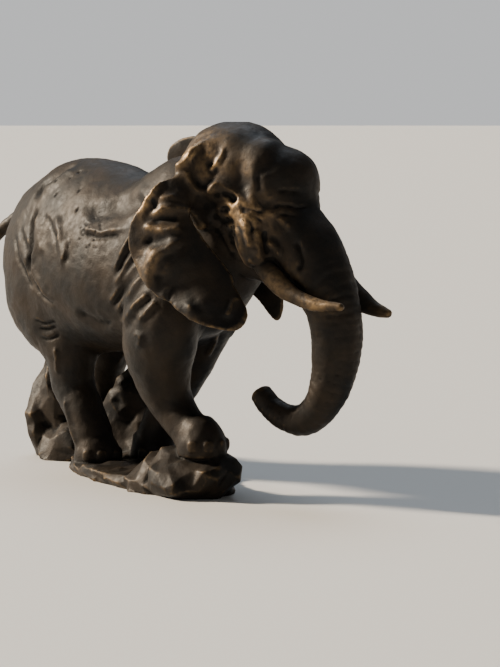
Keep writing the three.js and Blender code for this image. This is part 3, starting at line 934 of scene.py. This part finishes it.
def skin_relief(points):
    """Height of the worked surface: dabs, the tool's marks where it is rugged, pits and upright nicks.
    The ground and the feet's lowest part have no dabs."""
    above_feet = smooth(points[:, 2], GROUND + 6, GROUND + 16)
    rugged = rubbed_and_lit(points)[1] * tool_marks(points)
    pits = np.zeros(len(points))
    holes = smooth(noise(points, 2.6, 44), 0.15, 0.6)
    for x, y, z, radius in PITTED:
        pits -= PIT_DEPTH * holes * bell(points - [x, y, z], radius)
    for nick in NICKS:
        pits -= NICK_DEPTH * bell((points - nick) * [1, 1, 0.5], NICK_RADIUS)
    return above_feet * (dabs(points, WORKED) + rugged) + pits


def written(mesh, name, values):
    """Writes one number for each point of the mesh, for its material to read."""
    layer = mesh.attributes.new(name, "FLOAT", "POINT")
    layer.data.foreach_set("value", values.astype(np.float32))


def marked(clay):
    """Writes how far each point stands out over its neighbourhood's mean, close by as crest and wider
    as swell, and how rubbed it is, which also marks where the patina paints highlights. The first two
    are 0 at the median height, 1 at the height that one point in twenty passes, and -1 at the depth
    that one in twenty passes."""
    normals = clay.normals()
    soft = clay.points
    for name, rounds in (("crest", 3), ("swell", 20)):
        for _ in range(rounds):
            soft = clay.spread(soft)
        height = np.einsum("ij,ij->i", clay.points - soft, normals)
        low, middle, high = np.percentile(height, [5, 50, 95])
        reach = np.where(height > middle, high - middle, middle - low)
        written(clay.mesh, name, (height - middle) / reach)
    # how rubbed, which the patina also uses as its mask of painted highlight
    written(clay.mesh, "rubbed_and_lit", rubbed_and_lit(clay.points)[0])


def casting():
    """The whole sculpture as one closed skin, thinned, kept inside the CAD model's box, in metres."""
    parts = body() + [moved(form, head_matrix(), HEAD_AT) for form in head()] + ground()
    clay = fused(parts, FINE)
    clay.fill(2)
    clay.push(skin_relief(clay.points))
    marked(clay)
    mesh = finished(clay.mesh, "TRIANGULATE")
    mesh = finished(mesh, "DECIMATE", ratio=min(1.0, MOST_FACES / len(mesh.polygons)))
    clay = Clay(mesh)
    low, high = (np.array(corner) / MM for corner in cad_box)
    clay.points[:, 2] = np.where(clay.points[:, 2] < FLAT_BELOW, 0, clay.points[:, 2])
    clay.points = np.clip(clay.points, low, high)
    clay.points *= MM
    clay.normals()
    mesh.polygons.foreach_set("use_smooth", np.ones(len(mesh.polygons), bool))
    mesh.name = bronze_name
    return mesh


# ---- finish ----

DARK = (0.013, 0.012, 0.011, 1)  # the patina, mottled with BROWN
BROWN = (0.028, 0.021, 0.015, 1)
UMBER_AND_HIGHLIGHT = (0.13, 0.083, 0.043, 1)  # where hands have touched it, and painted highlight on the head's lit places
SOOT = (0.006, 0.005, 0.004, 1)  # in the hollows
GOLDEN_AND_HIGHLIGHT = (0.46, 0.30, 0.145, 1)  # bare bronze on what stands out, and painted highlight on the swells of the head's lit places
MOTTLE = (45.0, 6.0)  # scale and detail of the noise that mottles the patina
BROKEN = (260.0, 5.0)  # of the noise that breaks up the worn places
GRAIN = (900.0, 3.0)  # of the metal's grain
BUMP_DEPTH = 0.0007


def nodes_of(name):
    """A new material's node tree, its output's shader and the function that adds and links a node."""
    material = bpy.data.materials.new(name)
    material.use_nodes = True
    tree = material.node_tree
    shader = next(n for n in tree.nodes if n.type == "BSDF_PRINCIPLED")

    def add(kind, inputs=None, **settings):
        node = tree.nodes.new(kind)
        for key, value in settings.items():
            setattr(node, key, value)
        for key, value in (inputs or {}).items():
            if isinstance(value, bpy.types.NodeSocket):
                tree.links.new(value, node.inputs[key])
            else:
                node.inputs[key].default_value = value
        return node

    return material, tree, shader, add


def patina():
    """Dark brown patina, rubbed through to warm bronze on the crests and dull in the hollows, with painted
    highlights of umber and gold on the head's lit places.
    """
    material, tree, shader, add = nodes_of("dark patinated bronze")
    place = add("ShaderNodeTexCoord").outputs["Object"]

    def written_as(name):
        return add("ShaderNodeAttribute", attribute_name=name).outputs["Fac"]

    def speckle(scale, detail):
        inputs = {"Vector": place, "Scale": scale, "Detail": detail}
        return add("ShaderNodeTexNoise", inputs).outputs["Fac"]

    def math(operation, a, b, clamp=False):
        return add("ShaderNodeMath", {0: a, 1: b}, operation=operation, use_clamp=clamp).outputs[0]

    def ranged(value, low, high, start=0.0, end=1.0):
        inputs = {"Value": value, "From Min": low, "From Max": high, "To Min": start, "To Max": end}
        return add("ShaderNodeMapRange", inputs).outputs[0]

    def mixed(factor, a, b):
        return add("ShaderNodeMix", {"Factor": factor, 6: a, 7: b}, data_type="RGBA").outputs[2]

    # the rubbed places are real wear and also the mask of painted highlight on the head's lit side
    crest, swell, touched_and_lit = (written_as(name) for name in ("crest", "swell", "rubbed_and_lit"))
    mottle, broken, grain = (speckle(*pattern) for pattern in (MOTTLE, BROKEN, GRAIN))

    # worn bronze a little on every crest and swell, and much painted highlight on the rubbed places that
    # stand out
    ridges = math("ADD", ranged(crest, 0.8, 3.0, 0.0, 0.14), ranged(swell, 0.8, 2.6, 0.0, 0.16))
    # painted highlight: the swells of the rubbed places, most on the head's lit right side
    highlit_swells = math("MULTIPLY", touched_and_lit, ranged(swell, -0.6, 0.9, 0.0, 0.9))
    worn_and_highlit = math("ADD", ridges, highlit_swells)
    worn_and_highlit = math("MULTIPLY", worn_and_highlit, ranged(broken, 0.35, 0.6, 0.1, 1.0), clamp=True)
    pores, valleys = ranged(crest, -0.4, -1.6, 0.0, 0.7), ranged(swell, -0.4, -1.6, 0.0, 0.6)
    hollow = math("ADD", pores, valleys, clamp=True)
    colour = mixed(ranged(mottle, 0.36, 0.66), DARK, BROWN)
    # painted highlight: the rubbed places of the head, most on its lit right side, are lightened towards
    # umber
    colour = mixed(math("MULTIPLY", touched_and_lit, 0.5), colour, UMBER_AND_HIGHLIGHT)
    colour = mixed(hollow, colour, SOOT)
    # gold: bare bronze on worn crests, and painted highlight on the rubbed swells
    colour = mixed(worn_and_highlit, colour, GOLDEN_AND_HIGHLIGHT)
    tree.links.new(colour, shader.inputs["Base Color"])

    # roughest in the hollows, and glossiest and most like bare metal where touched or worn
    rough = math("ADD", ranged(broken, 0.3, 0.7, 0.46, 0.6), ranged(hollow, 0.0, 1.0, 0.0, 0.15))
    rough = math("SUBTRACT", rough, math("MULTIPLY", touched_and_lit, 0.1))
    tree.links.new(rough, shader.inputs["Roughness"])
    tree.links.new(ranged(touched_and_lit, 0.0, 1.0, 0.12, 0.5), shader.inputs["Specular IOR Level"])
    metal = math("ADD", math("MULTIPLY", touched_and_lit, 0.3), math("MULTIPLY", worn_and_highlit, 0.6))
    tree.links.new(math("ADD", metal, 0.3, clamp=True), shader.inputs["Metallic"])
    height = math("ADD", broken, math("MULTIPLY", grain, 0.4))
    bump = add("ShaderNodeBump", {"Height": height, "Strength": 0.35, "Distance": BUMP_DEPTH})
    tree.links.new(bump.outputs["Normal"], shader.inputs["Normal"])
    return material


def plain(name, colour, roughness):
    """A plain, matt material for the floor."""
    material, _, shader, _ = nodes_of(name)
    shader.inputs["Base Color"].default_value = (*colour, 1)
    shader.inputs["Roughness"].default_value = roughness
    return material


# ---- the piece ----

elephant = bpy.data.objects.new(bronze_name, casting())
bpy.context.scene.collection.objects.link(elephant)
elephant.data.materials.append(patina())
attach(elephant, "root")
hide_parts("elephant_and_ground")


# ---- floor, light and camera, in metres ----

FLOOR_RADIUS = 30
LENS = 141.4  # focal length in millimetres, on a sensor 36 wide
CAMERA_FROM = (56, 5)  # azimuth and elevation in degrees
CAMERA_AWAY = 1.8
CAMERA_LOOKS_AT = (0.0395, 0.0562, 0.0993)
LAMPS_LOOK_AT = (0, 0, 0.12)
FLOOR_COLOUR = (0.60, 0.59, 0.57)
HORIZON_FADE = (0.06, 0.22)  # sines of the heights between which the horizon's glow fades
HORIZON_GLOW = (0.75, 0.14)  # strength of the light from the horizon, and from above it


def floor():
    """A flat pale floor, round, that reaches to the horizon."""
    corners = 96
    turn = np.linspace(0, 2 * np.pi, corners, endpoint=False)
    rim = np.stack([np.cos(turn), np.sin(turn), np.zeros(corners)], axis=1) * FLOOR_RADIUS
    mesh = bpy.data.meshes.new("floor")
    mesh.from_pydata(rim.tolist(), [], [list(range(corners))])
    mesh.materials.append(plain("pale floor", FLOOR_COLOUR, 0.9))
    obj = bpy.data.objects.new("floor", mesh)
    bpy.context.scene.collection.objects.link(obj)


def aimed(obj, place, target):
    """Puts a lamp or camera at a place, looking at the target."""
    obj.location = place
    obj.rotation_euler = (Vector(target) - Vector(place)).to_track_quat("-Z", "Y").to_euler()
    bpy.context.scene.collection.objects.link(obj)


def direction(azimuth, elevation):
    """The unit vector from the object towards a viewer at that azimuth and elevation in degrees."""
    a, e = np.radians(azimuth), np.radians(elevation)
    return np.array([np.sin(a) * np.cos(e), -np.cos(a) * np.cos(e), np.sin(e)])


def soft_sun(name, azimuth, elevation, spread, strength, colour):
    """A far lamp whose light comes from a disc `spread` degrees across."""
    lamp = bpy.data.lights.new(name, "SUN")
    lamp.angle = np.radians(spread)
    lamp.energy = strength
    lamp.color = colour
    aimed(bpy.data.objects.new(name, lamp), direction(azimuth, elevation) * 3, LAMPS_LOOK_AT)


def room():
    """The room's pale light: bright at the horizon and dim above it."""
    world = bpy.data.worlds.new("room")
    world.use_nodes = True
    nodes, links = world.node_tree.nodes, world.node_tree.links
    backdrop = nodes["Background"]
    backdrop.inputs["Color"].default_value = (0.86, 0.87, 0.88, 1)
    way_out = nodes.new("ShaderNodeTexCoord").outputs["Generated"]
    apart = nodes.new("ShaderNodeSeparateXYZ")
    fall = nodes.new("ShaderNodeMapRange")
    for name, (first, last) in (("From", HORIZON_FADE), ("To", HORIZON_GLOW)):
        fall.inputs[name + " Min"].default_value = first
        fall.inputs[name + " Max"].default_value = last
    links.new(way_out, apart.inputs["Vector"])
    links.new(apart.outputs["Z"], fall.inputs["Value"])
    links.new(fall.outputs["Result"], backdrop.inputs["Strength"])
    bpy.context.scene.world = world


def camera():
    """The camera: a long lens, a little above the ground, off the animal's right front quarter."""
    lens = bpy.data.cameras.new("camera")
    lens.sensor_width = 36
    lens.lens = LENS
    lens.clip_end = 100
    target = np.array(CAMERA_LOOKS_AT)
    obj = bpy.data.objects.new("camera", lens)
    aimed(obj, target + CAMERA_AWAY * direction(*CAMERA_FROM), target)
    bpy.context.scene.camera = obj


floor()
soft_sun("key", azimuth=-53, elevation=30, spread=7, strength=9.5, colour=(1.0, 0.86, 0.68))
soft_sun("sky", azimuth=240, elevation=60, spread=40, strength=1.5, colour=(0.78, 0.88, 1.0))
room()
camera()
